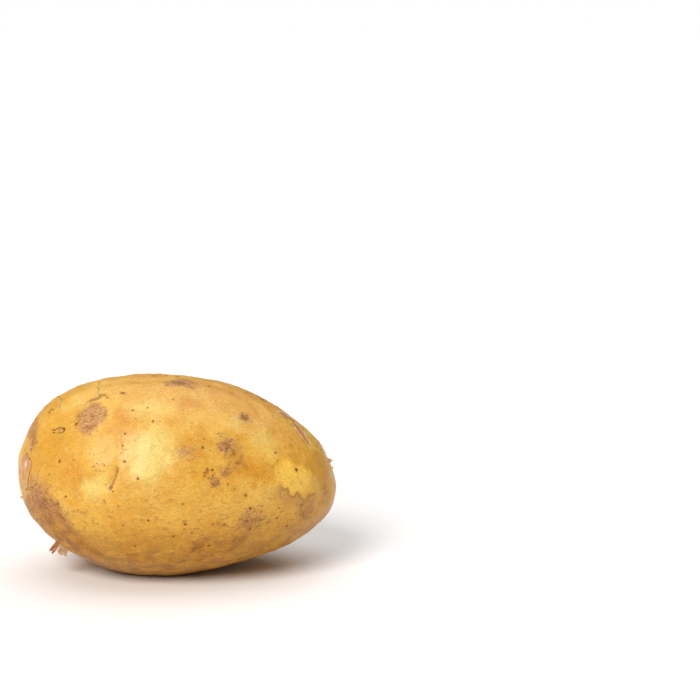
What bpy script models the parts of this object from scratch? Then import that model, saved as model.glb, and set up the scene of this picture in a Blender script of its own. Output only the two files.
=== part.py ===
"""A table potato: one solid tuber lying on a small flat spot.

Metres. +X runs along the tuber to its slimmer end, +Y to its back and +Z up.
The origin lies under the middle of the tuber's box, on the surface that it rests on.
"""
import math

import bmesh
import bpy
from mathutils import Matrix, Vector

# Driving dimensions of the tuber before it settles on its flat spot
LENGTH = 0.0999
DEPTH = 0.0680
HEIGHT = 0.0621

# Outline along the length: t is -1 at the blunt end and 1 at the slim end
TAPER = 0.131          # how much slimmer the slim half is than the blunt half
END_SLIMMING = 0.030   # both ends a little slimmer than an ellipsoid's
TAPER_EASE = 0.046     # the taper eases off towards the ends
END_DROOP = 0.0015     # both tips hang a little below the long axis
DROOP_POWER = 6
TILT = math.radians(3.0)    # the slim end lies lower than the blunt end

# The flat spot: the tuber is sunk by SINK and pressed flat at z = 0, with a rounded rim
SINK = 0.0017
RIM_SOFTNESS = 0.0010

# Swellings and hollows: place along the length (t), angle around the length in degrees
# (0 front, 90 top, 180 back, 270 underside), height out of the skin and spread, where 1 is
# the distance from the middle to the skin
SWELLINGS = (
    (-0.68, 104, 0.0013, 0.45),     # shoulder over the blunt end
    (0.38, 104, 0.0013, 0.42),      # shoulder over the slim end
    (-0.84, 90, 0.0011, 0.30),      # fuller brow of the blunt end
    (-0.82, 285, -0.0009, 0.50),    # blunt end cut away underneath
    (0.40, 284, -0.0009, 0.45),     # slim end cut away underneath
    (0.90, 40, 0.0004, 0.25),       # fuller tip of the slim end
    (0.10, 178, -0.0012, 0.38),     # flatter back
    (-0.45, 192, 0.0009, 0.35),     # haunch at the back of the blunt end
    (0.55, 215, 0.0008, 0.34),      # low swelling behind the slim end
    (-0.32, 30, -0.0005, 0.14),     # upper half of the front crease
    (-0.35, 8, -0.0005, 0.14),      # lower half of the front crease
    (-0.46, 18, 0.0004, 0.16),      # lip beside the front crease
    (-0.70, 46, -0.0005, 0.11),     # eye on the blunt end
    (0.35, 33, -0.0006, 0.16),      # eye on the front
    (0.05, 128, -0.0008, 0.15),     # eye behind the top
    (0.68, 118, -0.0008, 0.13),     # eye over the slim end
    (-0.50, 150, -0.0009, 0.15),    # eye on the back of the blunt end
    (0.42, 172, -0.0010, 0.16),     # eye on the back
    (-0.18, 214, -0.0009, 0.16),    # eye low on the back
    (0.80, 200, -0.0007, 0.12),     # eye on the back of the slim tip
)

SPHERE_SUBDIVISIONS = 5

SKIN_COLOUR = (0.83, 0.56, 0.19, 1.0)
SKIN_ROUGHNESS = 0.48


def direction_of(along, around_degrees):
    """Unit vector at a place along the tuber and an angle around it."""
    around = math.radians(around_degrees)
    ring = math.sqrt(1.0 - along * along)
    return Vector((along, -ring * math.cos(around), ring * math.sin(around)))


def swelling_at(direction):
    """Sum of the swellings' heights, each a bell curve of the distance from its centre."""
    total = 0.0
    for along, around_degrees, height, spread in SWELLINGS:
        distance = (direction - direction_of(along, around_degrees)).length
        total += height * math.exp(-((distance / spread) ** 2))
    return total


def tuber_point(direction):
    """Point of the tuber's skin for a direction on the unit sphere, about the tuber's middle."""
    t = direction.x
    girth = 1.0 - TAPER * t - END_SLIMMING * t ** 2 + TAPER_EASE * t ** 3
    point = Vector((
        0.5 * LENGTH * t,
        0.5 * DEPTH * girth * direction.y,
        0.5 * HEIGHT * girth * direction.z - END_DROOP * t ** DROOP_POWER,
    ))
    return point + direction * swelling_at(direction)


def settled(height):
    """Height above the resting surface: flat at 0 below the rim, eased smoothly into the skin."""
    if height <= -RIM_SOFTNESS:
        return 0.0
    if height >= RIM_SOFTNESS:
        return height
    return (height + RIM_SOFTNESS) ** 2 / (4.0 * RIM_SOFTNESS)


def shape_tuber(mesh):
    """Turn a unit sphere into the tuber, rest it on its flat spot and centre its box."""
    lay_down = Matrix.Rotation(TILT, 3, "Y")
    for vert in mesh.verts:
        vert.co = lay_down @ tuber_point(vert.co.normalized())
    lowest = min(vert.co.z for vert in mesh.verts)
    middle_x = 0.5 * (min(vert.co.x for vert in mesh.verts) + max(vert.co.x for vert in mesh.verts))
    middle_y = 0.5 * (min(vert.co.y for vert in mesh.verts) + max(vert.co.y for vert in mesh.verts))
    for vert in mesh.verts:
        vert.co.x -= middle_x
        vert.co.y -= middle_y
        vert.co.z = settled(vert.co.z - lowest - SINK)


def skin_material():
    """Thin yellow skin, half matt."""
    material = bpy.data.materials.new("potato_skin")
    material.use_nodes = True
    surface = material.node_tree.nodes["Principled BSDF"]
    surface.inputs["Base Color"].default_value = SKIN_COLOUR
    surface.inputs["Roughness"].default_value = SKIN_ROUGHNESS
    surface.inputs["Metallic"].default_value = 0.0
    return material


def make_potato():
    """The tuber as one closed solid."""
    mesh = bmesh.new()
    bmesh.ops.create_icosphere(mesh, subdivisions=SPHERE_SUBDIVISIONS, radius=1.0)
    shape_tuber(mesh)
    data = bpy.data.meshes.new("potato")
    mesh.to_mesh(data)
    mesh.free()
    data.shade_smooth()
    data.materials.append(skin_material())
    potato = bpy.data.objects.new("potato", data)
    bpy.context.collection.objects.link(potato)
    return potato


def main():
    for old in list(bpy.data.objects):
        bpy.data.objects.remove(old, do_unlink=True)
    make_potato()


main()
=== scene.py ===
"""The finish of a table potato: fine skin, pores, scabs, eyes and loose bits of skin.

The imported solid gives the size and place. Everything here is worked out on the same form:
an egg drawn from a unit sphere, with swellings and hollows, laid down on a small flat spot.
A place on the tuber is given as (along, around): along is -1 at the blunt end and 1 at the
slim end, around is the angle about the length in degrees, 0 at the front, 90 on top,
180 at the back and 270 underneath. Marks are measured in millimetres.
"""

import math
from functools import lru_cache

import bpy
import numpy as np
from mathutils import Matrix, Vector


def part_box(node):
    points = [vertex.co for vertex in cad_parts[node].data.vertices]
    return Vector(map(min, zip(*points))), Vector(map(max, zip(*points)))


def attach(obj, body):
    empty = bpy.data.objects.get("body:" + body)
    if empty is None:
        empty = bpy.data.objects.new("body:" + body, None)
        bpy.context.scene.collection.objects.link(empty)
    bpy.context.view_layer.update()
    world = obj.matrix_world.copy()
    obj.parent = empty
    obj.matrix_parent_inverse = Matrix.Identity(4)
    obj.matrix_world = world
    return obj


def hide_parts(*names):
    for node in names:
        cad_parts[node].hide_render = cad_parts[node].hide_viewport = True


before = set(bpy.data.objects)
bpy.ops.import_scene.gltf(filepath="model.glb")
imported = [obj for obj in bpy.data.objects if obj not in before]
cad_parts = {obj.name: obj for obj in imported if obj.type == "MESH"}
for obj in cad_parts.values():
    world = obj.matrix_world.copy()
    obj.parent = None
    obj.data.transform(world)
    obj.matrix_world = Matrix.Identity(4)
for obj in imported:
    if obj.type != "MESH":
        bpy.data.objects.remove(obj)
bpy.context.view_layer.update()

MM = 0.001

# ---- The tuber's form, the same as the solid's ----
LENGTH, DEPTH, HEIGHT = 0.0999, 0.0680, 0.0621
HALF_SIZES = 0.5 * np.array([LENGTH, DEPTH, HEIGHT])
TAPER, END_SLIMMING, TAPER_EASE = 0.131, 0.030, 0.046
END_DROOP, DROOP_POWER = 0.0015, 6
TILT = math.radians(3.0)
SINK, RIM_SOFTNESS = 0.0017, 0.0010

# along, around, height out of the skin in metres, spread (1 is from the middle to the skin)
SWELLINGS = (
    (-0.68, 104, 0.0013, 0.45),  # shoulder over the blunt end
    (0.38, 104, 0.0013, 0.42),  # shoulder over the slim end
    (-0.84, 90, 0.0011, 0.30),  # fuller brow of the blunt end
    (-0.82, 285, -0.0009, 0.50),  # blunt end cut away underneath
    (0.40, 284, -0.0009, 0.45),  # slim end cut away underneath
    (0.90, 40, 0.0004, 0.25),  # fuller tip of the slim end
    (0.10, 178, -0.0012, 0.38),  # flatter back
    (-0.45, 192, 0.0009, 0.35),  # haunch at the back of the blunt end
    (0.55, 215, 0.0008, 0.34),  # low swelling behind the slim end
    (-0.32, 30, -0.0005, 0.14),  # upper half of the front crease
    (-0.35, 8, -0.0005, 0.14),  # lower half of the front crease
    (-0.46, 18, 0.0004, 0.16),  # lip beside the front crease
    (-0.70, 46, -0.0005, 0.11),  # eye on the blunt end
    (0.35, 33, -0.0006, 0.16),  # eye on the front
    (0.05, 128, -0.0008, 0.15),  # eye behind the top
    (0.68, 118, -0.0008, 0.13),  # eye over the slim end
    (-0.50, 150, -0.0009, 0.15),  # eye on the back of the blunt end
    (0.42, 172, -0.0010, 0.16),  # eye on the back
    (-0.18, 214, -0.0009, 0.16),  # eye low on the back
    (0.80, 200, -0.0007, 0.12),  # eye on the back of the slim tip
)

SKIN_RINGS, SKIN_SPOKES = 246, 394    # steps along and around the skin's grid
SLOPE_STEP = 2e-3    # step on the unit sphere over which a form's slope is taken
OFF_AXIS = 1e-6    # the skin's end points lie this little off the axis, so they have tangents


def unit(vectors):
    """Vectors divided by their length."""
    return vectors / np.linalg.norm(vectors, axis=-1, keepdims=True)


def heading(along, around):
    """Unit direction (t, -r cos a, r sin a) of a place, with r the square root of 1 - t squared."""
    along = np.asarray(along, float)
    angle = np.radians(np.asarray(around, float))
    ring = np.sqrt(1.0 - along ** 2)
    return np.stack([along, -ring * np.cos(angle), ring * np.sin(angle)], -1)


def bell(distance, spread):
    """Bell curve: e to the minus (distance / spread) squared."""
    return np.exp(-((distance / spread) ** 2))


def ease(low, high, values):
    """Smooth step from 0 at low to 1 at high: 3 s squared - 2 s cubed."""
    s = np.clip((values - low) / (high - low), 0.0, 1.0)
    return s * s * (3.0 - 2.0 * s)


def egg(directions):
    """Half sizes times direction times girth, where girth is 1 less a taper, plus the swellings
    along the direction; the ends droop with the sixth power of their distance; then the whole
    is turned about Y by the tilt."""
    t = directions[..., 0]
    girth = 1.0 - TAPER * t - END_SLIMMING * t ** 2 + TAPER_EASE * t ** 3
    points = directions * HALF_SIZES
    points[..., 1] *= girth
    points[..., 2] = points[..., 2] * girth - END_DROOP * t ** DROOP_POWER
    swell = np.zeros(t.shape)
    for along, around, height, spread in SWELLINGS:
        away = np.linalg.norm(directions - heading(along, around), axis=-1)
        swell += height * bell(away, spread)
    points += directions * swell[..., None]
    x, y, z = points[..., 0], points[..., 1], points[..., 2]
    cosine, sine = math.cos(TILT), math.sin(TILT)
    return np.stack([x * cosine + z * sine, y, z * cosine - x * sine], -1)


def settled(heights):
    """Flat at 0 below the rim, the height itself above it, and a parabola between."""
    eased = (heights + RIM_SOFTNESS) ** 2 / (4.0 * RIM_SOFTNESS)
    return np.where(heights <= -RIM_SOFTNESS, 0.0, np.where(heights >= RIM_SOFTNESS, heights, eased))


def skin_grid_directions():
    """Directions of the skin's grid: along is minus the cosine of u half turns, so that the
    rings crowd towards both ends; around goes once round. The two ends themselves are left out."""
    u = np.linspace(0.0, 1.0, SKIN_RINGS + 1)[1:-1]
    v = np.linspace(0.0, 360.0, SKIN_SPOKES, endpoint=False)
    along, around = np.meshgrid(-np.cos(math.pi * u), v, indexing="ij")
    return heading(along, around)


GRID = skin_grid_directions()
CAD_LOW, CAD_HIGH = (np.array(corner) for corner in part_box("potato"))
LAID = egg(GRID).reshape(-1, 3)
LAID_LOW, LAID_HIGH = LAID.min(0), LAID.max(0)


def base_form(directions):
    """The egg settled on its flat spot and fitted to the solid's box."""
    points = egg(directions)
    heights = settled(points[..., 2] - LAID_LOW[2] - SINK)
    tallest = LAID_HIGH[2] - LAID_LOW[2] - SINK
    share = (points - LAID_LOW) / (LAID_HIGH - LAID_LOW)
    share[..., 2] = heights / tallest
    return CAD_LOW + share * (CAD_HIGH - CAD_LOW)


def tangents(directions):
    """Two unit tangents on the sphere: towards the slim end, and round from front to top."""
    ring = np.maximum(np.hypot(directions[..., 1], directions[..., 2]), 1e-9)
    nought = np.zeros(ring.shape)
    about = np.stack([nought, directions[..., 2] / ring, -directions[..., 1] / ring], -1)
    return np.cross(about, directions), about


def places(directions):
    """Places of unit directions, as pairs (along, around)."""
    around = np.degrees(np.arctan2(directions[:, 2], -directions[:, 1]))
    return list(zip(directions[:, 0], around))


def nudged(directions, offsets):
    """Directions moved so that their points shift by the offsets, given in metres."""
    return unit(directions + offsets / HALF_SIZES)


def outward(directions, form):
    """Unit normals of a form: the cross product of its changes along and around."""
    steps = [SLOPE_STEP * way for way in tangents(directions)]
    run, rise = (form(unit(directions + step)) - form(unit(directions - step)) for step in steps)
    return unit(np.cross(run, rise))


# ---- Random fields and patches ----
def ripple(points, wavelength, seed, waves=40):
    """Sum of sine waves in seeded directions, each within a third of one wavelength, scaled so
    that the usual size of the sum is 1."""
    draw = np.random.default_rng(seed)
    headings = unit(draw.normal(size=(waves, 3)))
    pitches = 2.0 * math.pi / (wavelength * draw.uniform(0.7, 1.4, (waves, 1)))
    phases = draw.uniform(0.0, 2.0 * math.pi, waves)
    return np.sin(points @ (headings * pitches).T + phases).sum(-1) * math.sqrt(2.0 / waves)


def wander(points):
    """Points shifted by ripples 8 mm and 3 mm long, so that patches get uneven outlines."""
    broad = np.stack([ripple(points, 8.0 * MM, seed) for seed in (11, 12, 13)], -1)
    small = np.stack([ripple(points, 3.0 * MM, seed, 24) for seed in (14, 15, 16)], -1)
    return points + 0.75 * MM * broad + 0.30 * MM * small


@lru_cache(maxsize=None)
def spot_frame(along, around, turn=0.0):
    """A place's point on the plain form, its outward normal, and two directions in the skin: one
    turned from the length towards the top by an angle in degrees, and one across it."""
    centre = heading(along, around)
    normal = outward(centre, base_form)
    ahead = tangents(centre)[0]
    ahead = unit(ahead - normal * (ahead @ normal))
    about = np.cross(normal, ahead)
    angle = math.radians(turn)
    long_way = ahead * math.cos(angle) + about * math.sin(angle)
    return base_form(centre), normal, long_way, np.cross(normal, long_way)


def patch_cover(points, patches):
    """The strongest of the patches at each point. A patch is strength times 2 to the minus r
    squared, with r the distance from its centre in its own half length and half width."""
    cover = np.zeros(points.shape[:-1])
    for along, around, half_length, half_width, turn, strength in patches:
        middle, normal, long_way, cross_way = spot_frame(along, around, turn)
        offsets = (points - middle) / MM
        r_squared = (offsets @ long_way / half_length) ** 2
        r_squared += (offsets @ cross_way / half_width) ** 2
        r_squared += (offsets @ normal / max(half_length, half_width)) ** 2
        cover = np.maximum(cover, strength * 2.0 ** -r_squared)
    return cover


# Patches: along, around, half length, half width, turn from the length in degrees, strength
# Cream areas; the broad ones on the front are partly a painted highlight from the upper left
CREAM_AND_HIGHLIGHT = (
    (-0.12, 26, 6, 9, 0, 1), (0.00, 327, 9, 4.5, 0, 0.30), (-0.44, 6, 5, 3.2, 20, 0.8),
    (-0.15, 56, 10, 4.5, 0, 0.55), (-0.64, 68, 6, 3.5, -20, 0.45), (0.37, 52, 4, 3, 30, 0.5),
    (0.55, 45, 7.5, 6, -20, 0.40), (0.20, 150, 9, 6, 10, 0.8), (-0.32, 186, 8, 6, -15, 0.7),
    (0.52, 226, 7, 5, 25, 0.6), (-0.10, 262, 9, 5, 0, 0.5), (0.78, 152, 5, 5, 0, 0.6),
    (-0.72, 160, 5, 6, 0, 0.5), (0.90, 100, 4, 4, 0, 0.5),
)
ORANGE = (
    (-0.33, 47, 3, 3.5, 0, 0.9), (0.08, 60, 6, 4, -10, 0.8), (0.46, 22, 6, 5, 10, 1),
    (-0.57, 14, 5, 4, 30, 0.55), (0.32, 84, 13, 5, 0, 0.8), (-0.30, 88, 8, 4, 0, 0.4),
    (-0.05, 340, 12, 4, 5, 0.55), (0.93, 20, 3, 8, 0, 0.8), (0.00, 110, 9, 5, 0, 0.7),
    (0.45, 140, 6, 5, 30, 0.7), (-0.55, 175, 6, 8, 0, 0.7), (0.15, 205, 10, 5, -10, 0.8),
    (-0.40, 235, 8, 5, 20, 0.6), (0.60, 270, 7, 6, 0, 0.6), (-0.88, 110, 4, 7, 0, 0.5),
)
RUSSET = (
    (0.00, 81, 5, 3.2, 10, 1), (-0.505, 51, 3.9, 4.9, 0, 1.5), (0.20, 331, 5, 3.2, 15, 1.15),
    (0.34, 329, 6, 2.4, 14, 1.05), (0.82, 344, 3.6, 4, 20, 0.8), (0.42, 60, 3, 2.4, 0, 0.8),
    (0.32, 37, 3.2, 2.4, 30, 0.8), (0.34, 21, 3, 1.6, 0, 0.7), (0.28, 15, 2.2, 1.6, 0, 0.7),
    (-0.70, 335, 10, 5.2, -42, 1.15), (-0.83, 322, 9, 6, -45, 1.1), (-0.52, 322, 8, 3.4, -30, 0.9),
    (-0.84, 350, 3.5, 7, 0, 0.8), (-0.66, 312, 8, 5, -30, 0.9), (0.20, 318, 10, 2.6, 8, 0.7),
    (0.60, 316, 8, 2.2, 12, 0.45), (-0.90, 78, 2.4, 6, 0, 0.6), (0.49, 347, 6, 4.4, 10, 0.82),
    (0.10, 29, 5, 2.6, 5, 0.62), (-0.87, 60, 3, 7, 0, 0.9), (-0.22, 128, 6, 3.5, 15, 0.9),
    (0.32, 118, 4, 3, -20, 0.8), (0.62, 164, 5, 4, 30, 0.85), (-0.58, 204, 6, 4.5, -20, 0.9),
    (0.02, 196, 4, 4, 0, 0.75), (0.38, 250, 8, 4, 10, 0.85), (-0.36, 264, 8, 5, -10, 0.8),
    (-0.80, 126, 4, 4, 0, 0.8), (0.86, 252, 4, 4, 0, 0.8), (0.12, 166, 3.5, 2, 40, 0.7),
    (0.02, 232, 5, 2.5, -25, 0.75), (0.92, 165, 2.5, 3, 0, 0.7),
)
BRUISE = (
    (0.00, 81, 4.4, 2.8, 10, 0.55), (0.37, 35, 4.4, 3.4, -35, 0.62), (0.41, 27, 3.4, 3, -30, 0.6),
    (-0.72, 337, 9, 4.6, -45, 1.25), (-0.58, 326, 8, 4, -30, 1.1), (0.28, 14, 2.2, 1.8, 0, 0.6),
    (0.25, 326, 5, 3, 15, 0.75), (0.44, 333, 5, 2.4, 15, 0.6), (-0.32, 318, 8, 3.5, 0, 0.5),
    (-0.62, 308, 14, 8, -25, 1.15), (-0.38, 300, 11, 6, -15, 0.9), (0.22, 297, 10, 4, 0, 0.6),
    (0.45, 308, 12, 4, 12, 0.6), (-0.86, 322, 7, 7, 0, 0.75), (-0.42, 240, 6, 5, 20, 0.7),
    (0.20, 176, 4, 3, 0, 0.6), (0.70, 300, 6, 5, 0, 0.5), (-0.62, 148, 4, 4, 0, 0.5),
    (0.55, 198, 3.5, 3, 0, 0.6),
)
# Olive areas; those low on the front of the slim end are partly a painted shadow
OLIVE_AND_SHADOW = (
    (0.72, 320, 9, 4.5, 15, 0.75), (0.53, 334, 8, 4, 15, 0.5), (0.95, 350, 2.6, 9, 0, 0.7),
    (-0.68, 34, 4, 4, 0, 0.6), (-0.78, 40, 3, 4, 0, 0.5), (0.86, 48, 4, 6, 0, 0.5),
    (0.30, 132, 8, 5, 0, 0.5), (-0.10, 160, 9, 5, 0, 0.5), (-0.30, 290, 12, 6, 0, 0.6),
    (0.40, 205, 7, 5, 0, 0.5), (-0.85, 225, 4, 6, 0, 0.5),
)
CLEAR = (
    (0.75, 19, 7, 5, -8, 1), (0.62, 30, 5, 4, -20, 0.5), (-0.50, 170, 4, 3, 20, 0.9),
    (0.32, 226, 4, 3, -30, 0.9),
)
# Small granular brown marks
SMUDGES = (
    (-0.493, 66, 2.1, 0.9, 10, 1.3), (-0.470, 70, 1.3, 0.5, -50, 0.9), (-0.440, 68, 1.5, 0.5, 10, 0.85),
    (-0.328, 67, 1.4, 0.8, 0, 1.15), (-0.373, 63.5, 0.9, 0.5, -20, 0.8),
    (-0.554, 86.5, 1.2, 0.6, 0, 0.7), (-0.46, 72, 1.8, 0.5, 60, 0.6), (-0.596, 48, 1, 0.7, 30, 1),
    (-0.42, 20, 1.6, 2.2, 0, 0.55), (-0.672, 46.5, 0.6, 0.9, 0, 1), (-0.735, 48.5, 1.2, 0.6, -10, 0.6),
    (-0.77, 72, 0.8, 1, 0, 0.8), (-0.347, 6.5, 1.1, 0.6, 60, 1), (-0.31, 16, 0.7, 2.2, 0, 0.7),
    (-0.295, 36, 0.7, 3.4, 0, 0.5), (-0.57, 22, 1.4, 0.8, -30, 0.6), (-0.53, 12, 1.6, 0.8, -50, 0.7),
    (-0.55, 3, 1.2, 0.7, 20, 0.55), (-0.64, 12, 1.2, 0.6, 0, 0.5), (-0.415, 51, 0.7, 2.4, 0, 0.85),
    (-0.52, 64, 2.6, 0.8, -20, 0.6), (0.225, 19, 1.6, 1, 40, 0.85), (0.245, 16, 1.3, 0.7, -30, 0.75),
    (0.275, 13, 1.7, 1.1, -20, 0.8), (0.33, 37, 2.2, 0.9, -30, 0.95), (0.37, 31, 1.9, 0.8, 50, 0.85),
    (0.41, 26, 1.6, 0.9, 20, 0.75), (0.42, 60, 1.6, 1.4, 0, 1), (0.10, 29, 2.4, 1.2, 10, 0.55),
    (0.16, 24, 1.6, 1, -30, 0.5), (-0.01, 81, 4, 1.8, 5, 0.95), (0.07, 77, 2.4, 0.9, -10, 0.85),
    (0.50, 352, 2, 1.2, 20, 0.55), (0.20, 332, 3, 1.4, 30, 1), (0.27, 326, 4.5, 1, 15, 1.1),
    (0.12, 323, 3.5, 1, 0, 0.9), (0.36, 324, 3.5, 0.8, 15, 0.9), (0.437, 333.5, 3.6, 0.9, 15, 0.75),
    (0.38, 309.5, 4.5, 0.9, 12, 0.75), (0.683, 305, 3.5, 0.9, 12, 0.65), (0.14, 318, 3, 0.8, 0, 0.6),
    (-0.30, 310, 4, 1, -5, 0.75), (-0.42, 318, 4, 1.1, -20, 0.8), (-0.56, 330, 3.2, 1.3, -30, 0.9),
    (-0.66, 342, 2.6, 1.2, -45, 0.85), (-0.76, 350, 2, 1.4, -50, 0.8), (-0.50, 300, 5, 1.5, -20, 0.9),
    (0.62, 358, 1.6, 0.8, -30, 0.5), (0.789, 353.5, 1.6, 0.8, -20, 0.75), (0.852, 341, 1.8, 1, 10, 0.7),
    (0.93, 10, 1, 2.4, 0, 0.7), (0.70, 345, 1.6, 0.9, 10, 0.5),
)
SMUDGE_SEED, SMUDGE_TRIES = 404, 150


def hidden_smudges():
    """Smudges like the front's over the back, top and underside, at seeded places."""
    draw = np.random.default_rng(SMUDGE_SEED)
    directions = unit(draw.normal(size=(SMUDGE_TRIES, 3)))
    hidden = (directions[:, 1] > -0.15) & (np.abs(directions[:, 0]) < 0.96)
    spots = places(directions[hidden])
    count = len(spots)
    half_lengths = 0.6 + draw.gamma(2.0, 0.7, count)
    half_widths = half_lengths * draw.uniform(0.3, 0.8, count)
    turns, strengths = draw.uniform(-60.0, 60.0, count), draw.uniform(0.45, 1.0, count)
    shapes = zip(half_lengths, half_widths, turns, strengths)
    return tuple(spot + shape for spot, shape in zip(spots, shapes))


ALL_SMUDGES = SMUDGES + hidden_smudges()
# Torn edges of the outer skin, which lies on the right of each route: along, around
TORN_ROUTES = (
    ((0.655, 17), (0.68, 10), (0.705, 11), (0.72, 5), (0.745, 3.5), (0.765, 7.5), (0.79, 2),
     (0.815, 359), (0.83, 3.5), (0.86, 5), (0.885, 9)),
    ((-0.58, 163), (-0.55, 168), (-0.51, 166), (-0.47, 171), (-0.44, 168)),
    ((0.25, 229), (0.28, 222), (0.32, 224), (0.36, 219), (0.40, 222)),
)
CREASE_ROUTE = ((-0.325, 39), (-0.30, 30), (-0.305, 21), (-0.315, 14), (-0.345, 6.5))


def smooth_route(route, steps):
    """Directions along a smooth line through places: a Catmull-Rom curve through the places'
    directions, brought back onto the unit sphere."""
    knots = np.array([heading(along, around) for along, around in route])
    knots = np.vstack([2 * knots[0] - knots[1], knots, 2 * knots[-1] - knots[-2]])
    spans = len(route) - 1
    at = np.linspace(0.0, spans, steps)
    first = np.minimum(at.astype(int), spans - 1)
    f = (at - first)[:, None]
    a, b, c, d = (knots[first + k] for k in range(4))
    curve = 2 * b + (c - a) * f + (2 * a - 5 * b + 4 * c - d) * f ** 2
    return unit(curve + (3 * b - a - 3 * c + d) * f ** 3)


CREASE_LINE = base_form(smooth_route(CREASE_ROUTE, 60))
TORN_LINES = [smooth_route(route, 60) for route in TORN_ROUTES]


def beside_line(points, line, normals=None):
    """Each point's distance in millimetres from the nearest point of a line, and that point's
    place on the line from 0 to 1. With the line's normals, the distance is signed: positive on
    the right of the line, seen from outside."""
    nearest = np.full(points.shape[:-1], np.inf)
    which = np.zeros(points.shape[:-1], int)
    for number, spot in enumerate(line):
        away = points - spot
        squared = np.einsum("...i,...i->...", away, away)
        closer = squared < nearest
        nearest = np.where(closer, squared, nearest)
        which = np.where(closer, number, which)
    distance = np.sqrt(nearest) / MM
    if normals is not None:
        right = np.cross(np.gradient(line, axis=0), normals)
        distance *= np.sign(np.einsum("...i,...i->...", points - line[which], right[which]))
    return distance, which / (len(line) - 1.0)


def nearness(points, spot, spread):
    """Bell curve of each point's distance from one spot."""
    away = points - spot
    return np.exp(-np.einsum("...i,...i->...", away, away) / spread ** 2)


def torn_skin(points):
    """How much of the torn outer skin there is: 1 just inside each torn edge, fading with the
    distance from it and towards the ends of the edge, and 0 outside. The second number is a thin
    bell along the edge itself."""
    cover, edge = np.zeros(points.shape[:-1]), np.zeros(points.shape[:-1])
    for line in TORN_LINES:
        distance, place = beside_line(points, base_form(line), outward(line, base_form))
        present = ease(0.0, 0.12, place) * ease(1.0, 0.88, place)
        cover = np.maximum(cover, ease(-0.15, 0.25, distance) * bell(distance, 4.0) * present)
        edge = np.maximum(edge, bell(distance - 0.25, 0.4) * present)
    return cover, edge


# ---- Pores ----
# The larger pores of the front: along, around, radius
FRONT_PORES = (
    (-0.59, 48, 0.62), (-0.76, 73, 0.34), (-0.75, 71, 0.30), (-0.77, 70, 0.28),
    (-0.33, 68, 0.45), (-0.25, 53, 0.45), (-0.67, 22, 0.45), (-0.28, 38, 0.35),
    (-0.29, 31, 0.38), (-0.27, 22, 0.50), (-0.80, 1, 0.45), (-0.33, 5, 0.32),
    (-0.38, 359, 0.40), (-0.67, 352, 0.45), (-0.77, 347, 0.45), (-0.29, 357, 0.35),
    (-0.62, 358, 0.32), (0.35, 18, 0.50), (0.35, 12, 0.34), (0.39, 9, 0.48),
    (0.51, 11, 0.66), (0.61, 27, 0.48), (0.46, 5, 0.64), (0.49, 356, 0.52),
    (0.55, 346, 0.55), (0.47, 347, 0.42), (0.34, 346, 0.62), (0.27, 347, 0.42),
    (0.49, 340, 0.48), (0.65, 345, 0.40), (0.25, 331, 0.50), (-0.02, 63, 0.52),
    (0.11, 47, 0.38), (0.19, 33, 0.50), (0.62, 38, 0.42), (0.75, 28, 0.58),
    (-0.18, 13, 0.48), (0.09, 0, 0.44), (-0.11, 350, 0.40), (-0.07, 339, 0.46),
    (0.04, 340, 0.58), (0.11, 348, 0.48), (-0.19, 332, 0.48), (-0.26, 346, 0.42),
    (0.71, 334, 0.46), (0.92, 350, 0.42), (-0.12, 46, 0.40), (0.15, 342, 0.36),
)
# Groups of specks round a bud: along, around, group radius, specks, speck radius
SPECK_GROUPS = (
    (-0.42, 18, 1.7, 7, 0.26), (0.235, 18, 1.5, 8, 0.32), (0.275, 14, 1.2, 7, 0.34),
    (0.42, 61, 1.2, 6, 0.36), (0.32, 35, 1.5, 6, 0.30), (0.05, 128, 1.6, 6, 0.36),
    (0.68, 118, 1.4, 6, 0.34), (-0.50, 150, 1.7, 7, 0.36), (0.42, 172, 1.6, 7, 0.38),
    (-0.18, 214, 1.6, 6, 0.36), (0.80, 200, 1.3, 6, 0.32),
)
SCATTER_SEED, SCATTER_TRIES = 2024, 2600
PORE_GAP = 2.1          # least distance between pores in millimetres
PORE_SPREAD = 1.30      # a pore's outer rim against the radius given
LARGE_PORE = 0.6 * MM   # pores wider than this lie in a dimple


def scattered_places(seed, tries, gap, taken):
    """Directions spread over the tuber, each at least a gap in millimetres from the others and
    from the taken ones. Tries are drawn evenly over the sphere."""
    draw = np.random.default_rng(seed)
    tried = unit(draw.normal(size=(tries, 3)))
    spots = base_form(tried) / MM
    kept, kept_spots = [], list(base_form(taken) / MM)
    for direction, spot in zip(tried, spots):
        if np.min(np.linalg.norm(np.array(kept_spots) - spot, axis=-1)) > gap:
            kept.append(direction)
            kept_spots.append(spot)
    return np.array(kept)


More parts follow.
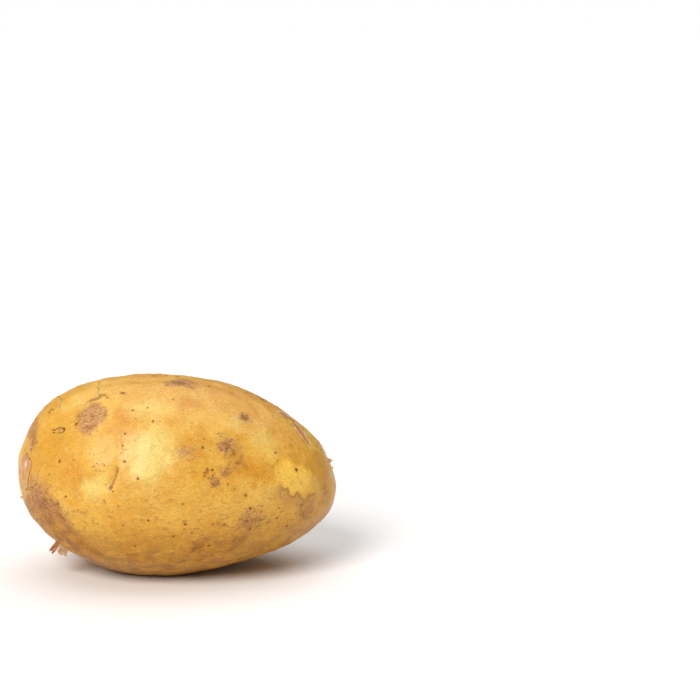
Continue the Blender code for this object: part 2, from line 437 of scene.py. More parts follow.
def all_pores():
    """Directions and radii in metres: the front's own pores, the speck groups and the scatter."""
    front = np.array([heading(along, around) for along, around, _ in FRONT_PORES])
    front_radii = np.array([radius for _, _, radius in FRONT_PORES])
    draw = np.random.default_rng(SCATTER_SEED + 1)
    group_directions, group_radii = [], []
    for along, around, group_radius, count, speck_radius in SPECK_GROUPS:
        centre = heading(along, around)
        ahead, about = tangents(centre)
        angles = np.linspace(0.0, 2.0 * math.pi, count, endpoint=False) + draw.uniform(-0.35, 0.35, count)
        reach = group_radius * MM * draw.uniform(0.55, 1.15, count)
        offsets = ahead * (reach * np.cos(angles))[:, None] + about * (reach * np.sin(angles))[:, None]
        group_directions.append(nudged(centre, offsets))
        group_radii.append(speck_radius * draw.uniform(0.6, 1.25, count))
    placed = np.vstack([front] + group_directions)
    loose = scattered_places(SCATTER_SEED, SCATTER_TRIES, PORE_GAP, placed)
    in_front = (loose[:, 1] < -0.15) & (loose[:, 2] > -0.75)
    crowding = 0.42 + 0.22 * ripple(base_form(loose), 24.0 * MM, SCATTER_SEED + 3)
    kept = draw.uniform(size=len(loose)) < np.clip(crowding, 0.10, 0.9) * np.where(in_front, 0.30, 1.0)
    loose, in_front = loose[kept], in_front[kept]
    loose_radii = np.clip(0.19 * np.exp(draw.normal(0.25, 0.42, len(loose))), 0.13, 0.62)
    loose_radii *= np.where(in_front, 0.8, 1.0)
    directions = np.vstack([placed, loose])
    radii = np.concatenate([front_radii] + group_radii + [loose_radii])
    return directions, radii * PORE_SPREAD * MM


PORE_DIRECTIONS, PORE_RADII = all_pores()
PORE_POINTS = base_form(PORE_DIRECTIONS)


# ---- Relief of the skin ----
# Eyes: along, around, half length of the brow, height of the brow, turn
BROWS = (
    (0.05, 128, 3.6, 0.60, 8), (0.68, 118, 3, 0.50, -10), (-0.50, 150, 3.8, 0.62, 15),
    (0.42, 172, 3.8, 0.62, -5), (-0.18, 214, 3.6, 0.60, 10), (0.80, 200, 2.8, 0.48, 0),
    (0.35, 33, 3, 0.34, -20), (0.43, 60, 2.2, 0.30, 15),
)
SHADOWED_BROW = 0.45   # brows at least this high have a painted shadow line under them
# Waves of the skin: height and length in millimetres, seed, how many sine waves
SKIN_WAVES = ((0.13, 15.0, 1, 40), (0.065, 6.0, 2, 40), (0.026, 2.4, 3, 60))


def brow_height(points):
    """Ridge over each eye: a bell across a parabola that bends round the eye's upper side, fading
    to its ends, with a low bud in the hollow under it."""
    total = np.zeros(points.shape[:-1])
    for along, around, half_length, height, turn in BROWS:
        middle, normal, long_way, cross_way = spot_frame(along, around, turn)
        offsets = (points - middle) / MM
        across, away = offsets @ cross_way, -(offsets @ long_way)
        near = bell(offsets @ normal, 4.0)
        arc = away - 1.7 + 0.35 * across ** 2 / half_length
        total += near * height * bell(arc, 0.75) * bell(across, half_length)
        total -= near * 0.55 * height * bell(away - 0.6, 0.8) * bell(across, 0.7 * half_length)
        total += near * 0.6 * height * bell(np.hypot(away + 0.3, across), 0.75)
    return total


def relief(points):
    """Height of the skin's own relief above the plain form, in metres: slow waves, orange-peel
    ripples, the eyes' brows, the crease, raised scuffs with small crumbs, pitted smudges, the thin
    edge of the torn skin and a dimple under each large pore. It fades out over the flat spot."""
    loose = wander(points)
    height = sum(size * ripple(points, length * MM, seed, count) for size, length, seed, count in SKIN_WAVES)
    height += brow_height(points)
    gap, place = beside_line(points, CREASE_LINE)
    height -= (0.34 * bell(gap, 0.9) - 0.10 * bell(gap - 2.0, 0.9)) * (0.35 + 0.65 * ease(0.1, 0.8, place))
    scuffed = ease(0.30, 0.62, patch_cover(0.5 * (points + loose), RUSSET))
    crumbs = np.abs(ripple(points, 1.7 * MM, 4, 60))
    height += scuffed * (0.02 + 0.05 * crumbs)
    height += 0.06 * ease(0.35, 0.9, patch_cover(points, ALL_SMUDGES)) * (crumbs - 0.7)
    height += 0.10 * torn_skin(points)[0]
    for spot, radius in zip(PORE_POINTS, PORE_RADII):
        if radius > LARGE_PORE:
            height -= 0.10 * nearness(points, spot, 1.6 * radius)
    return height * MM * ease(0.15 * MM, 1.6 * MM, points[..., 2])


def skin_form(directions):
    """The base form moved out along its normals by the relief."""
    points = base_form(directions)
    return points + outward(directions, base_form) * relief(points)[..., None]


# ---- Meshes ----
def sheet_faces(rows, columns, closed=False, start=0):
    """Four-sided faces of a grid whose points run row by row; closed joins the last column to
    the first."""
    row = np.arange(rows - 1)[:, None]
    column = np.arange(columns if closed else columns - 1)[None, :]
    first, second = row * columns, (row + 1) * columns
    next_column = (column + 1) % columns
    corners = (first + column, second + column, second + next_column, first + next_column)
    return (start + np.stack(np.broadcast_arrays(*corners), -1).reshape(-1, 4)).tolist()


def fan_faces(spokes, middle=0, start=1, backwards=False):
    """Triangles from a middle point to the ring of points that starts at a number."""
    here = start + np.arange(spokes)
    there = start + (np.arange(spokes) + 1) % spokes
    pair = (there, here) if backwards else (here, there)
    return np.stack([np.full(spokes, middle), *pair], -1).tolist()


def disc_faces(rings, spokes):
    """Faces of rings round a middle point: a fan inside, bands of four-sided faces outside."""
    return fan_faces(spokes) + sheet_faces(rings, spokes, True, 1)


def ringed(numbers, spokes):
    """One number for the middle, and each further one for every point of its ring."""
    return np.concatenate([numbers[:1], np.repeat(numbers[1:], spokes)])


def columns_of(profile):
    """The columns of a table of numbers, as arrays."""
    return (np.array(column, float) for column in zip(*profile))


def add_piece(name, points, faces, material, values=None):
    """A mesh object at the origin, smooth, with a number per point for each named value."""
    mesh = bpy.data.meshes.new(name)
    mesh.from_pydata(np.asarray(points).reshape(-1, 3).tolist(), [], faces)
    for label, numbers in (values or {}).items():
        layer = mesh.attributes.new(label, "FLOAT", "POINT")
        layer.data.foreach_set("value", np.ascontiguousarray(numbers, np.float32).ravel())
    mesh.materials.append(material)
    mesh.shade_smooth()
    mesh.update()
    piece = bpy.data.objects.new(name, mesh)
    bpy.context.scene.collection.objects.link(piece)
    return piece


def skin_values(directions):
    """How much of each kind of skin there is in each direction, and where painted shade and painted
    highlight go.
    """
    points = base_form(directions)
    loose = wander(points)
    halo = np.zeros(points.shape[:-1])
    for spot, radius in zip(PORE_POINTS, PORE_RADII):
        halo = np.maximum(halo, nearness(points, spot, 1.7 * radius))
    gap, place = beside_line(points, CREASE_LINE)
    torn, torn_edge = torn_skin(points)
    slope = outward(directions, base_form)[..., 2]
    return {
        "cream_and_highlight": patch_cover(loose, CREAM_AND_HIGHLIGHT),
        "orange": patch_cover(loose, ORANGE),
        "russet": patch_cover(0.5 * (points + loose), RUSSET),
        "smudge": patch_cover(points, ALL_SMUDGES),
        "bruise": patch_cover(loose, BRUISE),
        "olive_and_shadow": patch_cover(loose, OLIVE_AND_SHADOW),
        "clear": patch_cover(loose, CLEAR),
        "torn": torn,
        "torn_edge": torn_edge,
        # darker along the crease: painted shade in its hollow
        "crease_shade": bell(gap, 0.6) * (0.3 + 0.7 * ease(0.2, 0.9, place)),
        "halo": halo,
        # share of the skin that faces down, which gets painted shade
        "under": ease(0.0, -0.85, slope),
        # share of the skin that faces sideways or down: painted shade low on the sides, and the soil speckle
        # and haze there
        "low": ease(0.30, -0.60, slope),
    }


def make_skin(material):
    """The whole skin: the grid of rings, closed by one point and a fan at each end."""
    ends = np.array([[-1.0, OFF_AXIS, 0.0], [1.0, OFF_AXIS, 0.0]])
    directions = np.vstack([ends[:1], GRID.reshape(-1, 3), ends[1:]])
    points = skin_form(directions)
    rows, columns = GRID.shape[:2]
    slim_fan = fan_faces(columns, 1 + rows * columns, 1 + (rows - 1) * columns, backwards=True)
    faces = disc_faces(rows, columns) + slim_fan
    return add_piece("potato_skin", points, faces, material, skin_values(directions))


# Pore profile from the middle out: share of the radius, height in millimetres, dark centre
PORE_PROFILE = ((0.0, 0.035, 1.0), (0.42, 0.050, 1.0), (0.74, 0.075, 0.50), (1.0, -0.050, 0.0))
PORE_SPOKES = 10


def make_pores(material):
    """Every pore as a small low crater on the skin: rings of a turned profile, squeezed to an
    oval, with a slightly uneven outline."""
    draw = np.random.default_rng(SCATTER_SEED + 2)
    count = len(PORE_RADII)
    shares, heights, darks = columns_of(PORE_PROFILE)
    angles = np.linspace(0.0, 2.0 * math.pi, PORE_SPOKES, endpoint=False)
    uneven = 1.0 + 0.16 * draw.normal(size=(count, 1, PORE_SPOKES))
    reach = PORE_RADII[:, None, None] * shares[None, 1:, None] * uneven
    squeeze = draw.uniform(0.6, 1.0, (count, 1, 1))
    turn = draw.uniform(0.0, math.pi, (count, 1, 1))
    long_way, cross_way = reach * np.cos(angles), reach * np.sin(angles) * squeeze
    ahead, about = tangents(PORE_DIRECTIONS)
    ahead, about = ahead[:, None, None, :], about[:, None, None, :]
    shift_ahead = (long_way * np.cos(turn) - cross_way * np.sin(turn))[..., None]
    shift_about = (long_way * np.sin(turn) + cross_way * np.cos(turn))[..., None]
    rings = nudged(PORE_DIRECTIONS[:, None, None, :], ahead * shift_ahead + about * shift_about)
    directions = np.concatenate([PORE_DIRECTIONS[:, None, :], rings.reshape(count, -1, 3)], 1)
    ring_heights = ringed(heights, PORE_SPOKES) * MM
    points = skin_form(directions) + outward(directions, base_form) * ring_heights[None, :, None]
    values = skin_values(directions)
    depth_of_tone = np.clip(draw.normal(0.55, 0.22, (count, 1)), 0.2, 0.95)
    values["dark"] = ringed(darks, PORE_SPOKES)[None, :] * depth_of_tone
    pattern = disc_faces(len(shares) - 1, PORE_SPOKES)
    starts = np.arange(count) * directions.shape[1]
    faces = [[start + corner for corner in face] for start in starts.tolist() for face in pattern]
    return add_piece("pores", points, faces, material, values)


# ---- Eyes, hairlines, scars and loose skin ----
# Profiles across a strip or a disc, from one side to the other or from the middle out:
# share of the half width, height in millimetres, dark, pale, film
# Soft dark line of painted shade in the front crease
CREASE_SHADE_PROFILE = ((-1.0, -0.05, 0, 0, 0), (-0.5, 0.02, 0.18, 0, 0), (0.0, 0.02, 0.42, 0, 0),
        (0.5, 0.02, 0.18, 0, 0), (1.0, -0.05, 0, 0, 0))
HAIRLINE = ((-1.0, -0.05, 0, 0, 0), (-0.5, 0.03, 0.35, 0, 0), (0.0, 0.03, 0.70, 0, 0),
            (0.5, 0.03, 0.35, 0, 0), (1.0, -0.05, 0, 0, 0))
EYE_RIM = ((-1.0, -0.06, 0, 0, 0), (-0.5, 0.12, 0.45, 0, 0), (0.0, 0.16, 1.0, 0, 0),
           (0.45, 0.08, 1.2, 0, 0), (1.0, -0.06, 0.6, 0, 0))
EYE_TAIL = ((-1.0, -0.06, 0, 0, 0), (-0.5, 0.07, 0.6, 0, 0), (0.1, 0.05, 1.3, 0, 0),
            (1.0, -0.06, 0.3, 0, 0))
# Dried peel; its pale turned-up edges are partly a painted highlight
PEEL = ((-1.12, -0.08, 0.7, 0, 0.1), (-1.04, 0.24, 0.50, 0.1, 0.4), (-0.90, 0.42, 0, 0.95, 0.6),
        (-0.66, 0.21, 0.20, 0.10, 1.1), (-0.10, 0.14, 0.36, 0, 1.2), (0.45, 0.18, 0.26, 0, 1.2),
        (0.78, 0.32, 0.10, 0.10, 1.1), (0.96, 0.30, 0.30, 0.22, 0.7), (1.10, -0.08, 0.9, 0, 0.1))
SCALE_EDGE = ((-1.0, -0.06, 0, 0, 0), (-0.4, 0.08, 0.30, 0.3, 0.3), (0.2, 0.04, 1.1, 0, 0),
              (1.0, -0.06, 0.2, 0, 0))
BUD = ((0.0, 0.30, 0.30, 0, 0.7), (0.35, 0.26, 0.20, 0, 0.8), (0.65, 0.15, 0.30, 0, 0.8),
       (0.85, 0.05, 0.8, 0, 0.4), (1.0, -0.06, 0.6, 0, 0.2))
DRY_FILM = ((0.0, 0.04, 0.05, 0, 0.45), (0.35, 0.05, 0.10, 0, 0.5), (0.62, 0.08, 0.02, 0, 0.6),
            (0.82, 0.17, 0, 0.05, 0.7), (0.92, 0.25, 0, 0.20, 0.6), (0.97, 0.12, 0.75, 0, 0.2),
            (1.02, -0.08, 0.5, 0, 0))
# Raised glossy crest whose pale middle is a painted glint
GLINT_CREST = ((0.0, 0.44, 0, 1.0, 0.6), (0.45, 0.40, 0, 0.6, 1.0), (0.8, 0.28, 0, 0.15, 1.0),
         (1.0, -0.02, 0.05, 0, 0.9))
CRUMB = ((0.0, 0.14, 0, 0.10, 0.6), (0.5, 0.12, 0, 0.20, 0.6), (0.85, 0.06, 0.2, 0.1, 0.2),
         (1.0, -0.06, 0.4, 0, 0))
END_SINK = 0.08    # how far a strip's ends go under the skin, in millimetres
ROOT_SINK = 0.15   # how far a scrap's root goes under it


def on_skin(directions, heights, **marks):
    """Points at heights in millimetres over the skin, with the skin's values and the marks."""
    points = skin_form(directions) + outward(directions, base_form) * (heights * MM)[..., None]
    values = {name: numbers.ravel() for name, numbers in skin_values(directions).items()}
    values.update({name: (numbers + np.zeros(heights.shape)).ravel() for name, numbers in marks.items()})
    return points.reshape(-1, 3), values


def strip(route, half_width, profile, steps=40, closed=False, slim=0.25):
    """A strip along a smooth route of places: a profile carried along it, narrowed to nothing at
    both ends, or all round if the route is closed. Its ends sink under the skin, its two sides
    waver apart from each other, and its tones come and go along it."""
    route = tuple(route) + (tuple(route[:1]) if closed else ())
    line = smooth_route(route, steps)
    run = np.linspace(0.0, 1.0, steps)
    spots = base_form(line)
    ahead = np.gradient(spots, axis=0)
    if closed:
        ahead[0] = ahead[-1] = spots[1] - spots[-2]
    side = unit(np.cross(unit(ahead), outward(line, base_form)))
    share, height, dark, pale, film = columns_of(profile)
    taper = np.ones(steps) if closed else np.minimum(1.0, np.sqrt(np.sin(math.pi * run) / slim + 1e-9))
    uneven = 1.0 + 0.17 * np.stack([ripple(spots, 3.5 * MM, 22), ripple(spots, 3.5 * MM, 23)], -1)
    sides = np.where(share < 0, uneven[:, :1], uneven[:, 1:])
    reach = share * sides * (half_width * MM * taper)[:, None]
    directions = nudged(line[:, None, :], side[:, None, :] * reach[..., None])
    heights = height * taper[:, None] - END_SINK * (1.0 - taper[:, None])
    broken = (np.clip(0.70 + 0.35 * ripple(spots, 3.0 * MM, 21), 0.15, 1.0) * taper)[:, None]
    patchy = (np.clip(0.85 + 0.30 * ripple(spots, 2.5 * MM, 24), 0.50, 1.0) * taper)[:, None]
    points, values = on_skin(directions, heights, dark=dark * broken, pale=pale * broken, film=film * patchy)
    return points, sheet_faces(steps, len(share)), values


def disc(along, around, half_length, half_width, turn, profile, spokes=24, ragged=0.08, seed=0, **extra):
    """An oval on the skin: a profile turned about its middle, its outline made uneven by waves of
    two to five round it, its dark and pale tones broken by slow waves of the skin. Each further
    value named has an amount to add at the oval's upper side, and one at its lower side."""
    draw = np.random.default_rng(seed)
    angles = np.linspace(0.0, 2.0 * math.pi, spokes, endpoint=False)
    counts = np.arange(2, 6)[:, None]
    waves = np.sin(counts * angles + draw.uniform(0, 2 * math.pi, (4, 1))) * draw.uniform(0.3, 1.0, (4, 1))
    outline = 1.0 + ragged * waves.sum(0)
    _, _, long_way, cross_way = spot_frame(along, around, turn)
    share, height, dark, pale, film = columns_of(profile)
    reach = share[1:, None] * outline * MM
    offsets = (reach * np.cos(angles) * half_length)[..., None] * long_way
    offsets = offsets + (reach * np.sin(angles) * half_width)[..., None] * cross_way
    middle = heading(along, around)
    directions = np.vstack([middle[None], nudged(middle, offsets).reshape(-1, 3)])
    height, dark, pale, film = (ringed(numbers, spokes) for numbers in (height, dark, pale, film))
    broken = np.clip(0.85 + 0.35 * ripple(base_form(directions), 3.0 * MM, 25), 0.45, 1.0)
    points, values = on_skin(directions, height, dark=dark * broken, pale=pale * broken, film=film)
    rise = (directions - middle) @ unit(cross_way * HALF_SIZES) * HALF_SIZES[2]
    upper = np.clip(rise / (half_width * MM), -1, 1)
    for name, (top, bottom) in extra.items():
        values[name] = values[name] + np.where(upper > 0, top * upper, -bottom * upper)
    return points, disc_faces(len(share) - 1, spokes), values


def scrap(along, around, turn, length, width, stand, curl, seed, tones=(0.1, 0.3, 0.7)):
    """A loose scrap of skin: rows across it step away from its root on the skin at an angle that
    grows with the curl; its sides and its far edge are torn by waves, and seeded waves crumple it
    across its face. Angles in degrees, lengths in millimetres."""
    draw = np.random.default_rng(seed)
    rows, columns = 12, 9
    u, v = np.meshgrid(np.linspace(0, 1, rows), np.linspace(-1, 1, columns), indexing="ij")
    middle, normal, long_way, cross_way = spot_frame(along, around, turn)
    lean = np.radians(stand + curl * np.linspace(0, 1, rows))
    forward = np.concatenate([[0.0], np.cumsum(np.cos(lean[1:]))]) / (rows - 1)
    upward = np.concatenate([[0.0], np.cumsum(np.sin(lean[1:]))]) / (rows - 1)
    torn = 1.0 + 0.14 * np.sin(2.6 * v + draw.uniform(0, 6)) + 0.05 * np.sin(7.0 * v + draw.uniform(0, 6))
    sides = 1.0 - 0.28 * u + 0.10 * np.sin(7.0 * u + draw.uniform(0, 6))
    crumple = 0.10 * u * np.sin(5.0 * u + 3.5 * v + draw.uniform(0, 6))
    crumple += 0.05 * u * np.sin(11.0 * v + 4.0 * u)
    reach = length * torn
    offsets = (reach * forward[:, None])[..., None] * long_way
    offsets = offsets + (0.5 * width * v * sides)[..., None] * cross_way
    heights = reach * upward[:, None] - ROOT_SINK
    face = np.cos(lean)[:, None, None] * normal - np.sin(lean)[:, None, None] * long_way
    bent = offsets + heights[..., None] * normal + (length * crumple)[..., None] * face
    points = skin_form(heading(along, around)) + bent * MM
    directions = nudged(heading(along, around), 0.3 * offsets * MM)
    values = {name: numbers.ravel() for name, numbers in skin_values(directions).items()}
    dark, pale, film = tones
    edge = np.maximum(np.abs(v) ** 6, u ** 8)
    values["dark"] = (dark * (1.0 + edge)).ravel()
    values["pale"] = (pale + 0.15 * edge).ravel()
    values["film"] = np.full(u.size, film)
    return points.reshape(-1, 3), sheet_faces(rows, columns), values


def add_merged(name, parts, material):
    """One piece from several parts, each with points, faces and values."""
    points, faces, start = [], [], 0
    for part_points, part_faces, _ in parts:
        points.append(part_points)
        faces += [[start + corner for corner in face] for face in part_faces]
        start += len(part_points)
    names = parts[0][2]
    values = {label: np.concatenate([part[2][label] for part in parts]) for label in names}
    return add_piece(name, np.vstack(points), faces, material, values)


def ring_route(along, around, half_length, half_width, turn, spots=8):
    """Places round an oval."""
    _, _, long_way, cross_way = spot_frame(along, around, turn)
    angles = np.linspace(0.0, 2.0 * math.pi, spots, endpoint=False)[:, None]
    offsets = (half_length * np.cos(angles) * long_way + half_width * np.sin(angles) * cross_way) * MM
    return places(nudged(heading(along, around), offsets))


def brow_shadow_route(along, around, half_length, turn):
    """Places along the painted shadow line under a brow: the brow's own parabola, 0.6 mm nearer the eye."""
    _, _, long_way, cross_way = spot_frame(along, around, turn)
    across = half_length * np.linspace(-0.9, 0.9, 7)[:, None]
    away = 1.1 - 0.35 * across ** 2 / half_length
    offsets = (across * cross_way - away * long_way) * MM
    return places(nudged(heading(along, around), offsets))


def make_eyes(material):
    """Rimmed eyes: an uneven dark oval rim round a pinkish bud, some with two short tails, and a
    painted shadow line under the larger brows."""
    parts = []
    for along, around, half_length, height, turn in BROWS:
        if height >= SHADOWED_BROW:
            parts.append(strip(brow_shadow_route(along, around, half_length, turn), 0.30, EYE_TAIL, 30))
    for along, around, half_length, half_width, turn, tails in RIMMED_EYES:
        route = ring_route(along, around, half_length, half_width, turn)
        parts.append(strip(route, 0.30, EYE_RIM, 41, closed=True))
        bud = (along, around, 0.82 * half_length, 0.8 * half_width, turn)
        parts.append(disc(*bud, BUD, seed=int(100 + around)))
        parts += [strip(tail, 0.40, EYE_TAIL, 24) for tail in tails]
    return add_merged("eyes", parts, material)


def make_hairlines(material):
    """Fine brown lines: cracks, scratches, soft dark lines of painted shade in the front crease, and the
    rims of old scales.
    """
    kinds = ((HAIRLINES, HAIRLINE, 48), (CREASE_SHADE_LINES, CREASE_SHADE_PROFILE, 60), (SCALE_RIMS, SCALE_EDGE, 60))
    parts = [strip(*line, profile, steps) for lines, profile, steps in kinds for line in lines]
    return add_merged("hairlines", parts, material)


def make_dry_films(material):
    """Blisters of dry film with a raised rim, pinkish at the upper side and khaki at the lower, with glossy
    raised crests whose pale middles are painted glints.
    """
    tints = {"olive_and_shadow": (0.0, 0.9), "orange": (0.2, 0.6), "russet": (0.5, 0.0), "film": (0.35, -0.45)}
    parts = [disc(*oval, DRY_FILM, 44, 0.045, 60 + number, **tints) for number, oval in enumerate(DRY_FILMS)]
    parts += [disc(*oval, GLINT_CREST, 16, 0.10, 80 + number) for number, oval in enumerate(FILM_GLINT_CRESTS)]
    return add_merged("dry_films", parts, material)


def make_peels(material):
    """Narrow raised strips of dried peel with pale turned-up edges, partly a painted highlight along them.
    """
    parts = [strip(*peel, PEEL, 56, slim=0.35) for peel in PEELS]
    return add_merged("peel_strips", parts, material)


def make_crumbs(material):
    """Little pale flecks of skin that lie on the surface."""
    draw = np.random.default_rng(CRUMB_SEED)
    parts = [disc(*oval, CRUMB, 9, 0.16, draw.integers(1000)) for oval in CRUMBS]
    return add_merged("skin_flecks", parts, material)


def make_scraps(material):
    """Thin loose scraps that stand off the skin."""
    piece = add_merged("loose_scraps", [scrap(*numbers) for numbers in SCRAPS], material)
    wall = piece.modifiers.new("thickness", "SOLIDIFY")
    wall.thickness, wall.offset = SCRAP_THICKNESS, 0.0
    return piece


# Eyes with a rim: along, around, half length, half width, turn, tails
RIMMED_EYES = (
    (-0.692, 46.0, 1.45, 0.95, -10, (((-0.690, 49.2), (-0.712, 49.4), (-0.735, 49.0), (-0.752, 50.5)),
                                    ((-0.715, 45.6), (-0.732, 46.4), (-0.748, 47.6)))),
    (0.05, 128, 1.5, 0.9, 95, ()),
    (0.68, 118, 1.2, 0.8, 80, ()),
    (-0.50, 150, 1.7, 1.0, 100, ()),
    (0.42, 172, 1.6, 1.0, 85, ()),
    (-0.18, 214, 1.5, 0.9, 100, ()),
    (0.80, 200, 1.2, 0.8, 90, ()),
)
# Lines and strips: route, half width
HAIRLINES = (
    (((-0.502, 90), (-0.490, 84), (-0.498, 80), (-0.484, 75.5), (-0.490, 72), (-0.478, 69)), 0.30),
    (((-0.482, 70.5), (-0.464, 67.4), (-0.450, 68.8), (-0.432, 66.6), (-0.415, 67.4)), 0.30),
    (((-0.12, 148), (-0.05, 151), (0.02, 149), (0.07, 144)), 0.3),
    (((0.30, 190), (0.36, 187), (0.40, 182)), 0.28),
    (((-0.62, 222), (-0.56, 226), (-0.52, 233)), 0.28),
    (((0.55, 246), (0.60, 240), (0.62, 232)), 0.24),
)
# Soft dark lines of painted shade along the front crease
CREASE_SHADE_LINES = (
    (((-0.322, 43), (-0.305, 38), (-0.303, 34), (-0.293, 30.5), (-0.300, 26), (-0.296, 20),
      (-0.308, 15)), 0.45),
    (((-0.304, 19), (-0.312, 16), (-0.316, 13), (-0.334, 10), (-0.354, 5)), 0.55),
)
SCALE_RIMS = (
    (((-0.84, 90), (-0.78, 97), (-0.735, 92), (-0.705, 79), (-0.705, 71), (-0.72, 66)), 0.34),
    (((-0.69, 208), (-0.66, 198), (-0.61, 197), (-0.595, 203), (-0.60, 209)), 0.26),
    (((0.18, 262), (0.24, 256), (0.31, 258), (0.33, 266)), 0.28),
)
# Ovals of dry film: along, around, half length, half width, turn
DRY_FILMS = (
    (-0.918, 15, 3.9, 5.6, 0),
    (0.66, 176, 1.6, 3.2, 20),
)
# Glossy raised crests on the films, their pale middles painted glints: along, around, half length, half
# width, turn
FILM_GLINT_CRESTS = (
    (-0.903, 25, 0.85, 2.1, 6),
    (-0.925, 10, 0.50, 1.4, -6),
    (-0.955, 8, 0.55, 2.4, 0),
    (-0.878, 42, 0.50, 0.7, 10),
    (-0.872, 50, 0.30, 1.0, -10),
    (0.65, 180, 0.4, 1.0, 20),
)
PEELS = (
    (((0.60, 80), (0.650, 83), (0.695, 82.5), (0.735, 78), (0.78, 70), (0.825, 62)), 1.6),
    (((-0.30, 166), (-0.335, 169), (-0.36, 174), (-0.362, 179)), 0.75),
)
# Crumbs: along, around, half length, half width, turn
CRUMB_SEED = 77
CRUMBS = (
    (0.945, 106, 0.6, 0.4, 20), (0.95, 84, 0.5, 0.3, 70), (0.925, 66, 0.4, 0.3, 40),
    (0.78, 17, 0.6, 0.35, 30), (0.80, 12, 0.4, 0.3, -20),
    (0.22, 325, 0.8, 0.22, 60), (0.26, 324, 0.6, 0.20, 45), (0.34, 31, 0.4, 0.22, 10),
    (0.12, 318, 0.7, 0.25, 15), (-0.66, 338, 0.6, 0.25, -50), (-0.44, 14, 0.35, 0.2, 70),
    (0.10, 205, 0.7, 0.3, 10), (-0.45, 190, 0.6, 0.3, 60), (0.60, 170, 0.6, 0.3, 30),
    (-0.20, 245, 0.7, 0.3, -40), (-0.85, 170, 0.6, 0.4, 0), (0.45, 262, 0.6, 0.3, 20),
)
SCRAP_THICKNESS = 0.12 * MM
# Scraps: along, around, turn, length, width, angle off the skin, curl, seed, dark, pale and film
SCRAPS = (
    (-0.716, 297, -100, 4.2, 2.0, 60, 10, 5, (0.45, 0.0, 0.7)),
    (-0.672, 298, -84, 3.2, 4.0, 58, -14, 6, (0.14, 0.26, 0.8)),
    (0.95, 95, 60, 1.3, 1.5, 55, 30, 7, (0.05, 0.35, 0.5)),
    (0.962, 75, 20, 1.1, 1.0, 70, -20, 8, (0.10, 0.30, 0.5)),
    (-0.957, 318, 190, 0.8, 1.0, 50, 20, 9, (0.0, 0.5, 0.5)),
    (-0.15, 186, 30, 1.6, 2.0, 35, 40, 10, (0.1, 0.4, 0.6)),
    (0.72, 228, 140, 1.5, 1.8, 40, 30, 11, (0.1, 0.4, 0.6)),
    (-0.78, 240, 200, 1.8, 2.2, 45, 20, 12, (0.2, 0.3, 0.6)),
)


# ---- Materials ----
class Wire:
    """A number or a colour running through a material. Arithmetic on numbers adds Math nodes."""

    def __init__(self, finish, socket):
        self.finish = finish
        self.socket = socket

    def math(self, operation, *values, clamp=False):
        settings = {"operation": operation, "use_clamp": clamp}
        return self.finish.add("ShaderNodeMath", settings, dict(enumerate(values)))

    def __add__(self, other):
        return self.math("ADD", self, other)

    __radd__ = __add__

    def __sub__(self, other):
        return self.math("SUBTRACT", self, other)

    def __rsub__(self, other):
        return self.math("SUBTRACT", other, self)

    def __mul__(self, other):
        return self.math("MULTIPLY", self, other)

    __rmul__ = __mul__

    def clamped(self):
        return self.math("ADD", self, 0.0, clamp=True)

    def step(self, low, high):
        """0 at low, 1 at high, eased between them."""
        sockets = {"Value": self, "From Min": low, "From Max": high}
        return self.finish.add("ShaderNodeMapRange", {"interpolation_type": "SMOOTHSTEP"}, sockets)


class Finish:
    """A material or a world being built: its nodes, the shader that they end in, and the colour
    so far."""

    def __init__(self, block, shader="Principled BSDF"):
        block.use_nodes = True
        self.tree = block.node_tree
        self.shader = self.tree.nodes[shader]
        self.colour = None

    def add(self, kind, settings=None, sockets=None, output=0):
        """Adds a node of a kind, sets its settings, then gives its sockets values or wires."""
        node = self.tree.nodes.new(kind)
        for name, value in (settings or {}).items():
            setattr(node, name, value)
        for name, value in (sockets or {}).items():
            if isinstance(value, Wire):
                self.tree.links.new(value.socket, node.inputs[name])
            else:
                node.inputs[name].default_value = value
        return Wire(self, node.outputs[output])

    def feed(self, **sockets):
        """Wires or values into the shader's sockets; an underscore in a name stands for a space."""
        for name, value in sockets.items():
            socket = self.shader.inputs[name.replace("_", " ")]
            if isinstance(value, Wire):
                self.tree.links.new(value.socket, socket)
            else:
                socket.default_value = value

    def blend(self, share, under, over, mode="MIX"):
        """Colour under, with over on it by a share from 0 to 1."""
        settings = {"data_type": "RGBA", "blend_type": mode, "clamp_factor": True}
        # A Mix node's colour sockets are its seventh and eighth inputs and its third output
        return self.add("ShaderNodeMix", settings, {0: share, 6: under, 7: over}, output=2)

    def coat(self, share, over, mode="MIX"):
        """One more layer on the colour so far, by a share from 0 to 1."""
        self.colour = self.blend(share, self.colour, over, mode)

    def value(self, name):
        """A number stored on the mesh's points, which is an Attribute node's third output."""
        return self.add("ShaderNodeAttribute", {"attribute_name": name}, output=2)

    def place_in_mm(self):
        """The point's place in the row frame, in millimetres: the fourth output, Object."""
        here = self.add("ShaderNodeTexCoord", output=3)
        return self.add("ShaderNodeVectorMath", {"operation": "SCALE"}, {0: here, "Scale": 1.0 / MM})

    def noise(self, place, size, detail=3.0, rough=0.55, warp=0.0):
        """Cloudy noise between 0 and 1, with features about size millimetres across."""
        sockets = {"Vector": place, "Scale": 1.0 / size, "Detail": detail, "Roughness": rough}
        return self.add("ShaderNodeTexNoise", None, {**sockets, "Distortion": warp})

    def cells(self, place, size, feature="F1"):
        """Distance to the nearest cell's middle, or to its edge, with cells about size across."""
        sockets = {"Vector": place, "Scale": 1.0 / size}
        return self.add("ShaderNodeTexVoronoi", {"feature": feature}, sockets)


# Share of the light that the skin gives back, against the colours as they look when lit
SKIN_GIVES_BACK = 0.78
